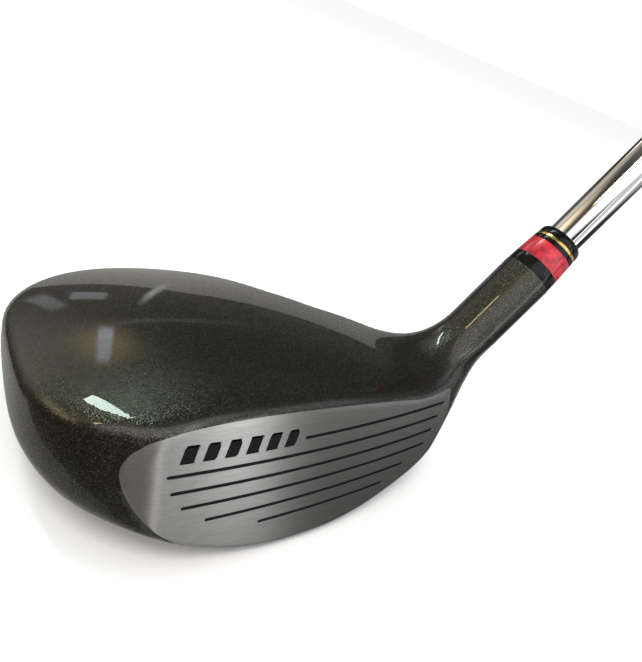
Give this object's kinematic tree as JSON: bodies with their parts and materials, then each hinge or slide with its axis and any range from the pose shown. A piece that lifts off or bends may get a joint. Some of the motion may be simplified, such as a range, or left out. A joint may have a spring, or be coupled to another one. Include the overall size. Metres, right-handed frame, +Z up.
{
  "type": "fairway wood",
  "caption": "Fairway wood golf club: hollow gunmetal head with a scored steel face, curved hosel, banded ferrule, stepped chrome shaft and tapered grip.",
  "frame": {"origin": "on the ground, in the flat of the sole, below the middle of the face, in the vertical plane through the shaft axis", "axes": "+X from toe to heel along the face, +Y from face to back, +Z up with the club soled at its lie angle"},
  "size_m": [0.6669, 0.0874, 0.9123],
  "materials": {
    "gunmetal_paint": "high gloss metallic clear coat",
    "face_steel": "fine brushed, satin",
    "sole_steel": "satin polished",
    "black_paint": "satin black fill",
    "tungsten": "as sintered",
    "hot_melt": "soft amber",
    "cork_plug": "matte",
    "epoxy": "matte",
    "chrome": "polished",
    "brass": "turned",
    "ferrule_black": "gloss",
    "ferrule_red": "pearly gloss",
    "ferrule_gold": "polished",
    "grip_rubber": "matte",
    "tape": "paper tape"
  },
  "bodies": {
    "root": {"head_body": "gunmetal_paint", "crown_shell": "gunmetal_paint", "face_plate": "face_steel", "groove_paint": "black_paint", "mark_paint": "black_paint", "sole_plate": "sole_steel", "back_weight": "tungsten", "hot_melt_pad": "hot_melt", "hosel_plug": "cork_plug", "hosel_epoxy": "epoxy", "shaft": "chrome", "tip_weight": "brass", "ferrule_base_ring": "ferrule_black", "ferrule_red_band": "ferrule_red", "ferrule_black_spacer": "ferrule_black", "ferrule_gold_ring": "ferrule_gold", "ferrule_top_cap": "ferrule_black", "grip_tape": "tape", "grip_sleeve": "grip_rubber", "grip_cap": "grip_rubber"}
  },
  "joints": []
}
